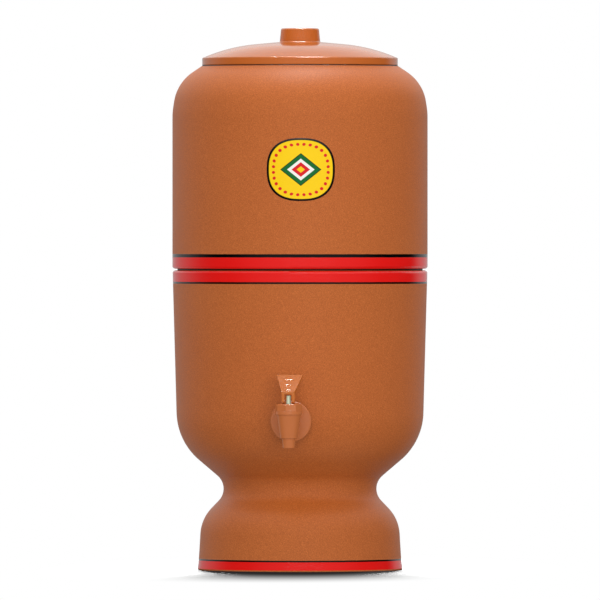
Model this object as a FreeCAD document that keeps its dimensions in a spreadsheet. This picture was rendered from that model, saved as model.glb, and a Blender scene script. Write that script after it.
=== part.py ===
import FreeCAD, Part
import math
import os
import Sketcher

# Clay water pot with a lever tap: two stacked clay vessels with filter candles between them.
# Millimetres, +Z up, origin on the floor at the middle of the foot, tap towards -Y.

SIZES = {
    # Clay walls and the joint between the two vessels
    "clay_wall": 9.0,
    "seam_height": 299.2,
    "seam_edge_round": 2.7,
    "seam_gap": 1.7,
    "seam_gap_width": 5.0,
    "body_radius": 127.6,
    "rim_step": 0.2,
    "spigot_depth": 13.2,
    "spigot_width": 9.0,
    "spigot_clearance": 1.8,
    # Lower vessel: rises from the foot up, radii from the rim down to the waist and out to the foot
    "foot_edge_round": 1.3,
    "foot_flare_height": 12.0,
    "foot_flare_width": 1.4,
    "foot_flare_round": 20.0,
    "foot_shoulder_rise": 38.8,
    "foot_shoulder_width": 2.3,
    "foot_shoulder_round": 40.0,
    "waist_rise": 31.4,
    "waist_width": 30.1,
    "waist_round": 17.0,
    "bowl_taper": 4.7,
    "bowl_rise": 46.0,
    "bowl_width": 54.0,
    "bowl_round": 64.0,
    "bowl_floor_rise": 13.8,
    "bowl_floor_wall": 10.0,
    "bowl_floor_round": 20.0,
    "foot_ceiling_round": 18.0,
    # Upper vessel, each corner counted from the one below
    "shoulder_rise": 158.0,
    "shoulder_round": 60.0,
    "crown_inset": 4.4,
    "crown_rise": 29.4,
    "crown_round": 43.0,
    "lip_inset": 31.5,
    "lip_rise": 21.4,
    "lip_edge_round": 1.5,
    "lip_width": 5.5,
    "throat_round": 4.0,
    "floor_rise": 4.8,
    "floor_wall": 12.0,
    "floor_round": 12.0,
    # Lid, its heights counted from the lip or from the part of the lid below
    "lid_overhang": 6.1,
    "lid_wall": 2.4,
    "lid_skirt_clearance": 0.34,
    "lid_rim_rise": 3.5,
    "lid_edge_round": 1.0,
    "dome_corner_inset": 26.7,
    "dome_corner_rise": 11.4,
    "dome_round": 168.0,
    "dome_inner_round": 70.0,
    "dome_peak_rise": 6.5,
    "lid_seat_width": 5.0,
    "lid_ring_clearance": 1.2,
    "lid_ring_depth": 8.6,
    "knob_base_radius": 20.3,
    "knob_root_round": 1.0,
    "knob_taper": 1.4,
    "knob_rise": 11.8,
    "knob_edge_round": 1.6,
    # Tap body: the upright chamber stands on the valve's axis, the shank goes back through the clay
    "tap_rise": 21.8,
    "tap_standoff": 32.8,
    "collar_radius": 13.1,
    "collar_top": 10.4,
    "collar_height": 3.8,
    "collar_round": 0.8,
    "chamber_top_radius": 12.0,
    "chamber_foot_radius": 8.4,
    "chamber_foot": 16.7,
    "nozzle_top_radius": 6.9,
    "nozzle_radius": 5.8,
    "nozzle_length": 9.3,
    "chamber_bore_radius": 8.0,
    "chamber_floor_wall": 6.7,
    "outlet_bore_radius": 4.2,
    "neck_radius": 7.5,
    "flange_radius": 20.3,
    "flange_wall": 2.6,
    "flange_edge_round": 0.9,
    "flange_dome": 0.8,
    "flange_clearance": 4.5,
    "shank_radius": 10.0,
    "shank_length": 31.2,
    "inlet_bore_radius": 4.0,
    # What holds the tap in the clay
    "tap_hole_radius": 11.0,
    "gasket_radius": 17.0,
    "outer_gasket_reach": 9.6,
    "clamp_depth": 21.2,
    "inner_gasket_reach": 10.5,
    "lock_nut_flats": 30.0,
    "lock_nut_height": 8.0,
    # Bonnet, valve and lever
    "bonnet_flats": 24.5,
    "bonnet_height": 7.1,
    "bonnet_turn_angle": 14.0,
    "bonnet_bevel": 1.0,
    "bonnet_bevel_width": 3.0,
    "bonnet_bevel_drop": 1.8,
    "bonnet_cavity_radius": 7.2,
    "bonnet_roof": 3.0,
    "thread_clearance": 0.1,
    "cap_thread_radius": 9.8,
    "stem_radius": 2.35,
    "stem_clearance": 0.1,
    "stem_crest": 4.1,
    "stem_top_round": 0.7,
    "stem_head_radius": 3.6,
    "stem_head_height": 3.0,
    "stem_head_rise": 5.0,
    "cup_grip_clearance": 0.05,
    "cup_skin_clearance": 0.2,
    "cup_foot_radius": 6.4,
    "cup_foot_height": 1.5,
    "cup_body_radius": 5.2,
    "cup_body_height": 9.5,
    "cup_rim_wall": 1.6,
    "cup_skin": 1.3,
    "pin_rise": 4.5,
    "pin_radius": 1.2,
    "pin_clearance": 0.05,
    "lever_width": 12.9,
    "slot_width": 7.0,
    "slot_height": 5.4,
    "cam_reach": 3.3,
    "cam_clearance": 0.1,
    "lever_travel_angle": 50.0,
    "heel_back": 4.5,
    "heel_round": 0.8,
    "pad_foot_height": 7.7,
    "pad_lean_angle": 53.0,
    "pad_length": 27.4,
    "pad_width": 25.9,
    "pad_wall": 2.6,
    "ridge_radius": 0.7,
    "ridge_width": 5.4,
    "ridge_width_step": 0.8,
    "ridge_first": 2.4,
    "ridge_pitch": 8.3,
    # Filter candles through the floor of the upper vessel
    "candle_spacing": 100.0,
    "candle_hole_radius": 6.0,
    "candle_stem_radius": 5.0,
    "candle_bore_radius": 2.5,
    "candle_stem_length": 28.0,
    "washer_radius": 14.0,
    "washer_wall": 3.0,
    "base_radius": 27.6,
    "base_floor": 3.0,
    "base_height": 10.0,
    "base_foot_round": 2.0,
    "candle_radius": 26.0,
    "candle_wall": 6.0,
    "candle_height": 98.0,
    "candle_dome_round": 21.0,
    "nut_flats": 22.0,
    "nut_height": 8.0,
    # Float valves on the candles' stems
    "bracket_radius": 8.0,
    "bracket_height": 12.0,
    "lug_width": 10.6,
    "lug_gap": 7.0,
    "lug_margin": 4.0,
    "lug_round": 4.0,
    "lug_standoff": 1.0,
    "hinge_back": 10.0,
    "hinge_drop": 6.0,
    "hinge_pin_radius": 1.25,
    "hinge_eye_radius": 3.0,
    "arm_width": 6.4,
    "arm_wall": 3.0,
    "arm_length": 76.0,
    "float_droop_angle": 18.0,
    "seal_radius": 3.5,
    "seal_gap": 0.3,
    "float_radius": 19.0,
    "float_height": 14.0,
    "float_reach": 62.0,
    "float_edge_round": 3.0,
}

FRONT_BACK = "YZ_Plane"
LEFT_RIGHT = "XZ_Plane"
LEVEL = "XY_Plane"
NUT_SIDES = 6
BONNET_SIDES = 8
RIDGE_COUNT = 3
RADIANS_PER_DEGREE = math.pi / 180


class Size(float):
    """A length that also remembers how the sheet gives it, so that a feature can be bound to it."""

    def __new__(cls, value, formula):
        size = super().__new__(cls, value)
        size.formula = formula
        return size

    def __add__(self, other):
        return Size(float(self) + float(other), f"({self.formula} + {formula_of(other)})")

    def __sub__(self, other):
        return Size(float(self) - float(other), f"({self.formula} - {formula_of(other)})")

    def __rsub__(self, other):
        return Size(float(other) - float(self), f"({formula_of(other)} - {self.formula})")

    def __mul__(self, other):
        return Size(float(self) * float(other), f"{self.formula} * {formula_of(other)}")

    def __truediv__(self, other):
        return Size(float(self) / float(other), f"{self.formula} / ({formula_of(other)})")

    def __neg__(self):
        return Size(-float(self), f"-1 * {self.formula}")

    __radd__ = __add__
    __rmul__ = __mul__


def formula_of(value):
    return getattr(value, "formula", repr(float(value)))


def sine(degrees):
    return Size(math.sin(math.radians(degrees)), f"sin({degrees.formula})")


def cosine(degrees):
    return Size(math.cos(math.radians(degrees)), f"cos({degrees.formula})")


doc = FreeCAD.newDocument("WaterPot")


def fill_sheet():
    """Write every driving dimension into the sheet and hand them back by name."""
    sheet = doc.addObject("Spreadsheet::Sheet", "Sizes")
    sizes = {}
    for row, (name, value) in enumerate(SIZES.items(), start=1):
        sheet.set(f"A{row}", name)
        sheet.set(f"B{row}", str(value))
        sheet.setAlias(f"B{row}", name)
        sizes[name] = Size(value, f"Sizes.{name}")
    doc.recompute()
    return sizes


class Names:
    """The driving dimensions as attributes."""

    def __init__(self, sizes):
        self.__dict__.update(sizes)


s = Names(fill_sheet())


def add_shared_places():
    """Work out the radii and heights that several pieces share."""
    s.rim_radius = s.body_radius - s.rim_step
    s.bowl_radius = s.rim_radius - s.bowl_taper
    s.waist_radius = s.bowl_radius - s.bowl_width
    s.foot_shoulder_height = s.foot_flare_height + s.foot_shoulder_rise
    s.waist_height = s.foot_shoulder_height + s.waist_rise
    s.bowl_height = s.waist_height + s.bowl_rise
    s.tap_height = s.bowl_height + s.tap_rise
    s.crown_radius = s.body_radius - s.crown_inset
    s.lip_radius = s.crown_radius - s.lip_inset
    s.shoulder_height = s.seam_height + s.shoulder_rise
    s.crown_height = s.shoulder_height + s.crown_rise
    s.lip_height = s.crown_height + s.lip_rise
    s.mouth_radius = s.lip_radius - s.lip_width
    s.floor_height = s.seam_height + s.floor_rise
    s.floor_underside = s.floor_height - s.floor_wall
    s.flange_back = s.bowl_radius + s.flange_clearance
    s.tap_reach = s.flange_back + s.tap_standoff
    s.collar_foot = s.collar_top - s.collar_height
    s.nozzle_drop = s.chamber_foot + s.nozzle_length
    s.valve_seat_drop = s.chamber_foot - s.chamber_floor_wall
    s.bonnet_top = s.collar_top + s.bonnet_height
    s.pin_height = s.bonnet_top + s.pin_rise
    s.stem_head_drop = s.valve_seat_drop - s.stem_head_rise
    s.candle_stem_end = s.floor_underside - s.candle_stem_length
    s.hinge_height = s.candle_stem_end - s.hinge_drop


add_shared_places()


def bind(thing, path, value):
    """Tie a property to the sheet."""
    thing.setExpression(path, value.formula)


def new_body(label, x=0.0, y=0.0, z=0.0):
    body = doc.addObject("PartDesign::Body", label)
    body.Label = label
    body.Placement.Base = FreeCAD.Vector(x, y, z)
    for axis, value in (("x", x), ("y", y), ("z", z)):
        if isinstance(value, Size):
            bind(body, f"Placement.Base.{axis}", value)
    return body


def new_sketch(body, name, plane):
    sketch = body.newObject("Sketcher::SketchObject", f"{body.Name}_{name}")
    support = next(item for item in body.Origin.OriginFeatures if item.Role == plane)
    sketch.AttachmentSupport = [(support, "")]
    sketch.MapMode = "FlatFace"
    return sketch


def place_point(sketch, geometry, position, x, y):
    """Hold a point where the sheet says. A plain number other than 0 is left to the sketch."""
    for value, kind, axis in ((x, "DistanceX", -2), (y, "DistanceY", -1)):
        if isinstance(value, Size):
            index = sketch.addConstraint(Sketcher.Constraint(kind, -1, 1, geometry, position, float(value)))
            bind(sketch, f"Constraints[{index}]", value)
        elif value == 0:
            sketch.addConstraint(Sketcher.Constraint("PointOnObject", geometry, position, axis))


def unit(vector):
    return FreeCAD.Vector(vector).normalize()


def line_meeting(first, second):
    """Where two lines meet, each given by two points."""
    a, b = first
    c, d = second
    along = b - a
    other = d - c
    share = ((c - a).cross(other)).z / (along.cross(other)).z
    return a + along * share


def moved_line(first, last, wall):
    """The line from first to last, moved to its left by the wall."""
    along = unit(last - first)
    left = FreeCAD.Vector(-along.y, along.x, 0) * wall
    return first + left, last + left


def arc_through(start, end, radius):
    """A short arc from start to end that bulges to the right of the way there."""
    middle = (start + end) * 0.5
    along = unit(end - start)
    left = FreeCAD.Vector(-along.y, along.x, 0)
    half = (end - start).Length / 2
    centre = middle + left * math.sqrt(radius**2 - half**2)
    top = centre - left * radius
    return Part.Arc(start, top, end)


def full_corner(x, y, rounding=0, arc=0):
    return x, y, rounding, arc


class Outline:
    """A closed outline in a sketch: lines between named corners, each corner sharp or rounded.

    corners maps a name to (x, y), (x, y, round) or (x, y, 0, arc), where arc is the radius of the
    edge that leaves the corner. walls lists (edge, other edge, wall) for an edge that runs beside
    another at that distance; an edge goes by the name of the corner that it leaves.
    """

    def __init__(self, sketch, corners, walls=()):
        self.sketch = sketch
        self.names = list(corners)
        self.corners = [full_corner(*corner) for corner in corners.values()]
        self.points = [FreeCAD.Vector(corner[0], corner[1], 0) for corner in self.corners]
        self.turns = [self.turn_at(i) for i in range(len(self.corners))]
        self.edges = [self.draw_edge(i) for i in range(len(self.corners))]
        for i in range(len(self.corners)):
            self.join(i)
        for edge, other, wall in walls:
            self.run_beside(self.edge(edge), self.edge(other), wall)

    def edge(self, name):
        return self.edges[self.names.index(name)]

    def turn_at(self, i):
        """Where a corner's rounding starts and ends, and its middle."""
        point = self.points[i]
        radius = float(self.corners[i][2])
        if radius == 0:
            return point, point, None
        back = unit(self.points[i - 1] - point)
        ahead = unit(self.points[(i + 1) % len(self.points)] - point)
        half_angle = back.getAngle(ahead) / 2
        reach = radius / math.tan(half_angle)
        centre = point + unit(back + ahead) * (radius / math.sin(half_angle))
        middle = centre + unit(point - centre) * radius
        return point + back * reach, point + ahead * reach, middle

    def draw_edge(self, i):
        start = self.turns[i][1]
        end = self.turns[(i + 1) % len(self.turns)][0]
        radius = self.corners[i][3]
        if not radius:
            return self.sketch.addGeometry(Part.LineSegment(start, end), False)
        index = self.sketch.addGeometry(arc_through(start, end, float(radius)), False)
        hold = self.sketch.addConstraint(Sketcher.Constraint("Radius", index, float(radius)))
        bind(self.sketch, f"Constraints[{hold}]", radius)
        return index

    def join(self, i):
        """Join the edge that comes to corner i with the one that leaves it."""
        before, after = self.edges[i - 1], self.edges[i]
        x, y, radius, _ = self.corners[i]
        start, end, middle = self.turns[i]
        if middle is None:
            self.sketch.addConstraint(Sketcher.Constraint("Coincident", before, 2, after, 1))
            place_point(self.sketch, after, 1, x, y)
            return
        arc = self.sketch.addGeometry(Part.Arc(start, middle, end), False)
        leftwards = (middle - start).cross(end - middle).z > 0
        first, last = (1, 2) if leftwards else (2, 1)
        mark = self.sketch.addGeometry(Part.Point(self.points[i]), True)
        self.sketch.addConstraint([
            Sketcher.Constraint("Tangent", before, 2, arc, first),
            Sketcher.Constraint("Tangent", arc, last, after, 1),
            Sketcher.Constraint("PointOnObject", mark, 1, before),
            Sketcher.Constraint("PointOnObject", mark, 1, after),
        ])
        hold = self.sketch.addConstraint(Sketcher.Constraint("Radius", arc, float(radius)))
        bind(self.sketch, f"Constraints[{hold}]", radius)
        place_point(self.sketch, mark, 1, x, y)

    def run_beside(self, edge, other, wall):
        self.sketch.addConstraint(Sketcher.Constraint("Parallel", edge, other))
        hold = self.sketch.addConstraint(Sketcher.Constraint("Distance", edge, 1, other, float(wall)))
        bind(self.sketch, f"Constraints[{hold}]", wall)


def add_circle(sketch, x, y, radius):
    circle = Part.Circle(FreeCAD.Vector(x, y, 0), FreeCAD.Vector(0, 0, 1), float(radius))
    index = sketch.addGeometry(circle, False)
    hold = sketch.addConstraint(Sketcher.Constraint("Radius", index, float(radius)))
    bind(sketch, f"Constraints[{hold}]", radius)
    place_point(sketch, index, 3, x, y)


def turn(body, sketch, kind="Revolution", axis="V_Axis"):
    """Turn a section about one of its sketch's own axes, to add it or to cut it."""
    feature = body.newObject(f"PartDesign::{kind}", f"{sketch.Name}_{kind.lower()}")
    feature.Profile = sketch
    feature.ReferenceAxis = (sketch, [axis])
    sketch.Visibility = False
    return feature


def pad(body, sketch, length, both_ways=True, reverse=False):
    """Thicken a sketch by a length, half to each side or all to one side."""
    feature = body.newObject("PartDesign::Pad", f"{sketch.Name}_pad")
    feature.Profile = sketch
    feature.SideType = "Symmetric" if both_ways else "One side"
    feature.Reversed = reverse
    bind(feature, "Length", length)
    sketch.Visibility = False
    return feature


def cut_through(body, sketch, both_ways=True, reverse=False):
    """Cut a sketch right through the body, to both sides or to one side of its plane."""
    feature = body.newObject("PartDesign::Pocket", f"{sketch.Name}_pocket")
    feature.Profile = sketch
    feature.Type = "ThroughAll"
    feature.SideType = "Symmetric" if both_ways else "One side"
    feature.Reversed = reverse
    sketch.Visibility = False
    return feature


def polygon_nut(sketch, flats, sides):
    """A regular outline with its first flat across the sketch's Y axis, given across its flats."""
    half_turn = math.pi / sides
    corner_radius = float(flats) / 2 / math.cos(half_turn)
    points = []
    for i in range(sides):
        angle = math.pi / 2 + half_turn * (2 * i - 1)
        points.append(FreeCAD.Vector(math.cos(angle), math.sin(angle), 0) * corner_radius)
    edges = [sketch.addGeometry(Part.LineSegment(points[i - 1], points[i]), False) for i in range(sides)]
    ring = sketch.addGeometry(Part.Circle(FreeCAD.Vector(), FreeCAD.Vector(0, 0, 1), corner_radius), True)
    sketch.addConstraint(Sketcher.Constraint("Coincident", ring, 3, -1, 1))
    for i in range(sides):
        sketch.addConstraint(Sketcher.Constraint("Coincident", edges[i - 1], 2, edges[i], 1))
        sketch.addConstraint(Sketcher.Constraint("PointOnObject", edges[i], 1, ring))
    for i in range(1, sides):
        sketch.addConstraint(Sketcher.Constraint("Equal", edges[0], edges[i]))
    sketch.addConstraint(Sketcher.Constraint("Horizontal", edges[1]))
    hold = sketch.addConstraint(Sketcher.Constraint("Distance", -1, 1, edges[1], float(flats) / 2))
    bind(sketch, f"Constraints[{hold}]", flats / 2)


def corner_between(first_line, second_line):
    """A corner that the sketch finds by itself, as plain numbers for its first guess."""
    point = line_meeting(first_line, second_line)
    return point.x, point.y


def level_line(height):
    return FreeCAD.Vector(0, height, 0), FreeCAD.Vector(1, height, 0)


def upright_line(radius):
    return FreeCAD.Vector(radius, 0, 0), FreeCAD.Vector(radius, 1, 0)


def vector(x, y):
    return FreeCAD.Vector(float(x), float(y), 0)


def make_lower_chamber():
    """The clay vessel that holds the filtered water, on a flared foot that is hollow below."""
    wall = s.clay_wall
    shoulder_radius = s.waist_radius + s.waist_width
    flare_radius = shoulder_radius + s.foot_shoulder_width
    floor_height = s.waist_height + s.bowl_floor_rise
    flare = vector(flare_radius, s.foot_flare_height)
    shoulder = vector(shoulder_radius, s.foot_shoulder_height)
    waist = vector(s.waist_radius, s.waist_height)
    bowl = vector(s.bowl_radius, s.bowl_height)
    rim = vector(s.rim_radius, s.seam_height)
    inner_side = moved_line(bowl, rim, wall)
    inner_bowl = moved_line(waist, bowl, wall)
    inner_waist = moved_line(shoulder, waist, wall)
    inner_foot = moved_line(flare, shoulder, wall)
    foot_ceiling = floor_height - s.bowl_floor_wall
    corners = {
        "foot_edge": (flare_radius + s.foot_flare_width, 0, s.foot_edge_round),
        "foot_flare": (flare_radius, s.foot_flare_height, s.foot_flare_round),
        "foot_shoulder": (shoulder_radius, s.foot_shoulder_height, s.foot_shoulder_round),
        "waist": (s.waist_radius, s.waist_height, s.waist_round),
        "bowl": (s.bowl_radius, s.bowl_height, s.bowl_round),
        "rim_outer": (s.rim_radius, s.seam_height, s.seam_edge_round),
        "rim_inner": (corner_between(inner_side, level_line(s.seam_height))[0], s.seam_height),
        "bowl_inner": (*corner_between(inner_side, inner_bowl), s.bowl_round - wall),
        "floor_edge": (corner_between(inner_bowl, level_line(floor_height))[0],
                       floor_height, s.bowl_floor_round),
        "floor_middle": (0, floor_height),
        "ceiling_middle": (0, foot_ceiling),
        "ceiling_edge": (corner_between(inner_waist, level_line(foot_ceiling))[0],
                         foot_ceiling, s.foot_ceiling_round),
        "foot_shoulder_inner": (*corner_between(inner_waist, inner_foot), s.foot_shoulder_round - wall),
        "foot_inner": (corner_between(inner_foot, level_line(0))[0], 0),
    }
    walls = [
        ("rim_inner", "bowl", wall),
        ("bowl_inner", "waist", wall),
        ("ceiling_edge", "foot_shoulder", wall),
        ("foot_shoulder_inner", "foot_flare", wall),
    ]
    body = new_body("lower_chamber")
    section = new_sketch(body, "section", LEFT_RIGHT)
    Outline(section, corners, walls)
    turn(body, section)
    hole = new_sketch(body, "tap_hole", LEFT_RIGHT)
    add_circle(hole, 0, s.tap_height, s.tap_hole_radius)
    cut_through(body, hole, both_ways=False, reverse=True)
    return body


def make_upper_chamber():
    """The clay vessel that is filled from the top, nested in the lower vessel's mouth."""
    wall = s.clay_wall
    body_foot = vector(s.body_radius, s.seam_height)
    shoulder = vector(s.body_radius, s.shoulder_height)
    crown = vector(s.crown_radius, s.crown_height)
    lip = vector(s.lip_radius, s.lip_height)
    inner_side = moved_line(body_foot, shoulder, wall)
    inner_shoulder = moved_line(shoulder, crown, wall)
    inner_crown = moved_line(crown, lip, wall)
    spigot_radius = s.rim_radius - wall - s.spigot_clearance
    spigot_foot = s.seam_height - s.spigot_depth
    gap_height = s.seam_height + s.seam_gap
    gap_radius = s.body_radius - s.seam_gap_width
    corners = {
        "seam_edge": (s.body_radius, gap_height, s.seam_edge_round),
        "shoulder": (s.body_radius, s.shoulder_height, s.shoulder_round),
        "crown": (s.crown_radius, s.crown_height, s.crown_round),
        "lip_outer": (s.lip_radius, s.lip_height, s.lip_edge_round),
        "lip_inner": (s.mouth_radius, s.lip_height, s.lip_edge_round),
        "throat": (s.mouth_radius, corner_between(inner_crown, upright_line(s.mouth_radius))[1],
                   s.throat_round),
        "crown_inner": (*corner_between(inner_crown, inner_shoulder), s.crown_round - wall),
        "shoulder_inner": (*corner_between(inner_side, inner_shoulder), s.shoulder_round - wall),
        "floor_edge": (s.body_radius - wall, s.floor_height, s.floor_round),
        "floor_middle": (0, s.floor_height),
        "underside_middle": (0, s.floor_underside),
        "spigot_inner": (spigot_radius - s.spigot_width, s.floor_underside),
        "spigot_inner_foot": (spigot_radius - s.spigot_width, spigot_foot),
        "spigot_foot": (spigot_radius, spigot_foot, s.seam_edge_round),
        "seat": (spigot_radius, s.seam_height),
        "gap_foot": (gap_radius, s.seam_height),
        "gap_root": (gap_radius, gap_height),
    }
    walls = [
        ("throat", "crown", wall),
        ("crown_inner", "shoulder", wall),
    ]
    body = new_body("upper_chamber")
    section = new_sketch(body, "section", LEFT_RIGHT)
    Outline(section, corners, walls)
    turn(body, section)
    holes = new_sketch(body, "candle_holes", LEVEL)
    for side in (-1, 1):
        add_circle(holes, s.candle_spacing / 2 * side, 0, s.candle_hole_radius)
    cut_through(body, holes, both_ways=False, reverse=True)
    return body


def make_lid():
    """The moulded lid: a thin dome with a hollow knob, a skirt, and a ring that centres it in the mouth."""
    wall = s.lid_wall
    lid_radius = s.lip_radius + s.lid_overhang
    clay_slope = s.lip_rise / s.lip_inset
    skirt_height = s.lip_height - clay_slope * s.lid_overhang + s.lid_skirt_clearance
    rim_height = s.lip_height + s.lid_rim_rise
    dome_corner_radius = lid_radius - s.dome_corner_inset
    dome_corner_height = rim_height + s.dome_corner_rise
    peak_height = dome_corner_height + s.dome_peak_rise
    knob_foot_height = peak_height - s.dome_peak_rise * s.knob_base_radius / dome_corner_radius
    knob_height = peak_height + s.knob_rise
    knob_top_radius = s.knob_base_radius - s.knob_taper
    peak = vector(0, peak_height)
    dome = vector(dome_corner_radius, dome_corner_height)
    rim = vector(lid_radius, rim_height)
    inner_top = moved_line(dome, peak, wall)
    inner_side = moved_line(rim, dome, wall)
    ring_outer = s.mouth_radius - s.lid_ring_clearance
    ring_inner = ring_outer - wall
    seat_outer = ring_outer + s.lid_seat_width
    skirt_inner = lid_radius - wall
    knob_inner_foot = s.knob_base_radius - wall
    knob_inner_top = knob_top_radius - wall
    corners = {
        "skirt_foot": (lid_radius, skirt_height),
        "rim": (lid_radius, rim_height, s.lid_edge_round),
        "dome": (dome_corner_radius, dome_corner_height, s.dome_round),
        "knob_foot": (s.knob_base_radius, knob_foot_height, s.knob_root_round),
        "knob_edge": (knob_top_radius, knob_height, s.knob_edge_round),
        "knob_middle": (0, knob_height),
        "knob_inner_middle": (0, knob_height - wall),
        "knob_inner_edge": (knob_inner_top, knob_height - wall, s.knob_edge_round),
        "knob_inner_foot": (knob_inner_foot, corner_between(inner_top, upright_line(knob_inner_foot))[1]),
        "dome_inner": (*corner_between(inner_top, inner_side), s.dome_inner_round),
        "ring_inner_root": (ring_inner, corner_between(inner_side, upright_line(ring_inner))[1]),
        "ring_inner_foot": (ring_inner, s.lip_height - s.lid_ring_depth),
        "ring_outer_foot": (ring_outer, s.lip_height - s.lid_ring_depth),
        "seat_inner": (ring_outer, s.lip_height),
        "seat_outer": (seat_outer, s.lip_height),
        "seat_root": (seat_outer, corner_between(inner_side, upright_line(seat_outer))[1]),
        "skirt_root": (skirt_inner, corner_between(inner_side, upright_line(skirt_inner))[1]),
        "skirt_inner_foot": (skirt_inner, skirt_height + clay_slope * wall),
    }
    walls = [
        ("knob_inner_foot", "dome", wall),
        ("dome_inner", "rim", wall),
        ("seat_root", "rim", wall),
    ]
    body = new_body("lid")
    section = new_sketch(body, "section", LEFT_RIGHT)
    Outline(section, corners, walls)
    turn(body, section)
    return body


def new_tap_body(label):
    """A body whose own origin is where the valve's upright axis crosses the shank's level axis."""
    return new_body(label, y=-s.tap_reach, z=s.tap_height)


def make_tap_body():
    """The moulded tap: upright valve chamber and nozzle, level neck, flange and shank, all bored."""
    body = new_tap_body("tap_body")
    chamber = new_sketch(body, "chamber", FRONT_BACK)
    Outline(chamber, {
        "foot_middle": (0, -s.nozzle_drop),
        "foot": (s.nozzle_radius, -s.nozzle_drop),
        "nozzle_root": (s.nozzle_top_radius, -s.chamber_foot),
        "chamber_foot": (s.chamber_foot_radius, -s.chamber_foot, s.collar_round),
        "chamber_top": (s.chamber_top_radius, s.collar_foot),
        "collar_foot": (s.collar_radius, s.collar_foot, s.collar_round),
        "collar_top": (s.collar_radius, s.collar_top),
        "top_middle": (0, s.collar_top),
    })
    turn(body, chamber)
    flange_front = s.tap_standoff - s.flange_wall
    shank_end = s.tap_standoff + s.shank_length
    shank = new_sketch(body, "shank", FRONT_BACK)
    Outline(shank, {
        "neck_middle": (0, 0),
        "shank_end_middle": (shank_end, 0),
        "shank_end": (shank_end, s.shank_radius),
        "shank_root": (s.tap_standoff, s.shank_radius),
        "flange_back": (s.tap_standoff, s.flange_radius),
        "flange_front": (flange_front, s.flange_radius, s.flange_edge_round),
        "flange_root": (flange_front - s.flange_dome, s.neck_radius, s.flange_edge_round),
        "neck": (0, s.neck_radius),
    })
    turn(body, shank, axis="H_Axis")
    bore = new_sketch(body, "upright_bore", FRONT_BACK)
    cup_ledge = s.collar_foot - s.cup_rim_wall
    Outline(bore, {
        "outlet_middle": (0, -s.nozzle_drop),
        "outlet": (s.outlet_bore_radius, -s.nozzle_drop),
        "seat_inner": (s.outlet_bore_radius, -s.valve_seat_drop),
        "seat_outer": (s.chamber_bore_radius - s.cup_skin, -s.valve_seat_drop),
        "seat_wall": (s.chamber_bore_radius, s.cup_skin - s.valve_seat_drop),
        "ledge_inner": (s.chamber_bore_radius, cup_ledge),
        "ledge_outer": (s.cap_thread_radius, cup_ledge),
        "mouth": (s.cap_thread_radius, s.collar_top),
        "mouth_middle": (0, s.collar_top),
    })
    turn(body, bore, "Groove")
    inlet = new_sketch(body, "level_bore", FRONT_BACK)
    Outline(inlet, {
        "start_middle": (0, 0),
        "end_middle": (shank_end, 0),
        "end": (shank_end, s.inlet_bore_radius),
        "start": (0, s.inlet_bore_radius),
    })
    turn(body, inlet, "Groove", axis="H_Axis")
    return body


def ring_on_shank(name, start, end, radius):
    """A plain ring on the tap's level axis, from start to end, counted back from the valve's axis."""
    blank = new_tap_body(name)
    section = new_sketch(blank, "section", FRONT_BACK)
    Outline(section, {
        "start_inner": (start, s.shank_radius),
        "end_inner": (end, s.shank_radius),
        "end_outer": (end, radius),
        "start_outer": (start, radius),
    })
    turn(blank, section, axis="H_Axis")
    return blank


def make_gasket(label, start, end, clay):
    """A rubber gasket whose one face fits the round clay, with a short collar inside the tap's hole."""
    gasket = doc.addObject("Part::Cut", label)
    gasket.Label = label
    gasket.Base = ring_on_shank(f"{label}_blank", start, end, s.gasket_radius)
    gasket.Tool = clay
    return gasket


def make_lock_nut():
    """The nut that draws the tap's flange against the clay from inside."""
    body = new_tap_body("tap_lock_nut")
    outline = new_sketch(body, "outline", LEFT_RIGHT)
    polygon_nut(outline, s.lock_nut_flats, NUT_SIDES)
    add_circle(outline, 0, 0, s.shank_radius)
    bind(outline, "AttachmentOffset.Base.z", -s.tap_standoff - s.clamp_depth)
    pad(body, outline, s.lock_nut_height, both_ways=False, reverse=True)
    return body


def make_bonnet():
    """The eight-sided cap that screws into the collar, guides the stem and carries the lever's heel."""
    body = new_tap_body("tap_bonnet")
    body.Placement.Rotation = FreeCAD.Rotation(FreeCAD.Vector(0, 0, 1), float(s.bonnet_turn_angle))
    bind(body, "Placement.Rotation.Angle", s.bonnet_turn_angle)
    head = new_sketch(body, "head", LEVEL)
    polygon_nut(head, s.bonnet_flats, BONNET_SIDES)
    bind(head, "AttachmentOffset.Base.z", s.collar_top)
    pad(body, head, s.bonnet_height, both_ways=False)
    skirt_radius = s.cap_thread_radius - s.thread_clearance
    skirt = new_sketch(body, "skirt", LEFT_RIGHT)
    Outline(skirt, {
        "foot_middle": (0, s.collar_foot),
        "foot": (skirt_radius, s.collar_foot),
        "root": (skirt_radius, s.collar_top),
        "root_middle": (0, s.collar_top),
    })
    turn(body, skirt)
    guide_radius = s.stem_radius + s.stem_clearance
    bore = new_sketch(body, "bore", LEFT_RIGHT)
    Outline(bore, {
        "cavity_middle": (0, s.collar_foot),
        "cavity_foot": (s.bonnet_cavity_radius, s.collar_foot),
        "cavity_roof": (s.bonnet_cavity_radius, s.bonnet_top - s.bonnet_roof),
        "guide_foot": (guide_radius, s.bonnet_top - s.bonnet_roof),
        "guide_top": (guide_radius, s.bonnet_top),
        "guide_middle": (0, s.bonnet_top),
    })
    turn(body, bore, "Groove")
    bevel = new_sketch(body, "bevel", LEFT_RIGHT)
    start = s.bonnet_flats / 2 - s.bonnet_bevel
    Outline(bevel, {
        "start": (start, s.bonnet_top),
        "foot": (start + s.bonnet_bevel_width, s.bonnet_top - s.bonnet_bevel_drop),
        "top": (start + s.bonnet_bevel_width, s.bonnet_top),
    })
    turn(body, bevel, "Groove")
    return body


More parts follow.
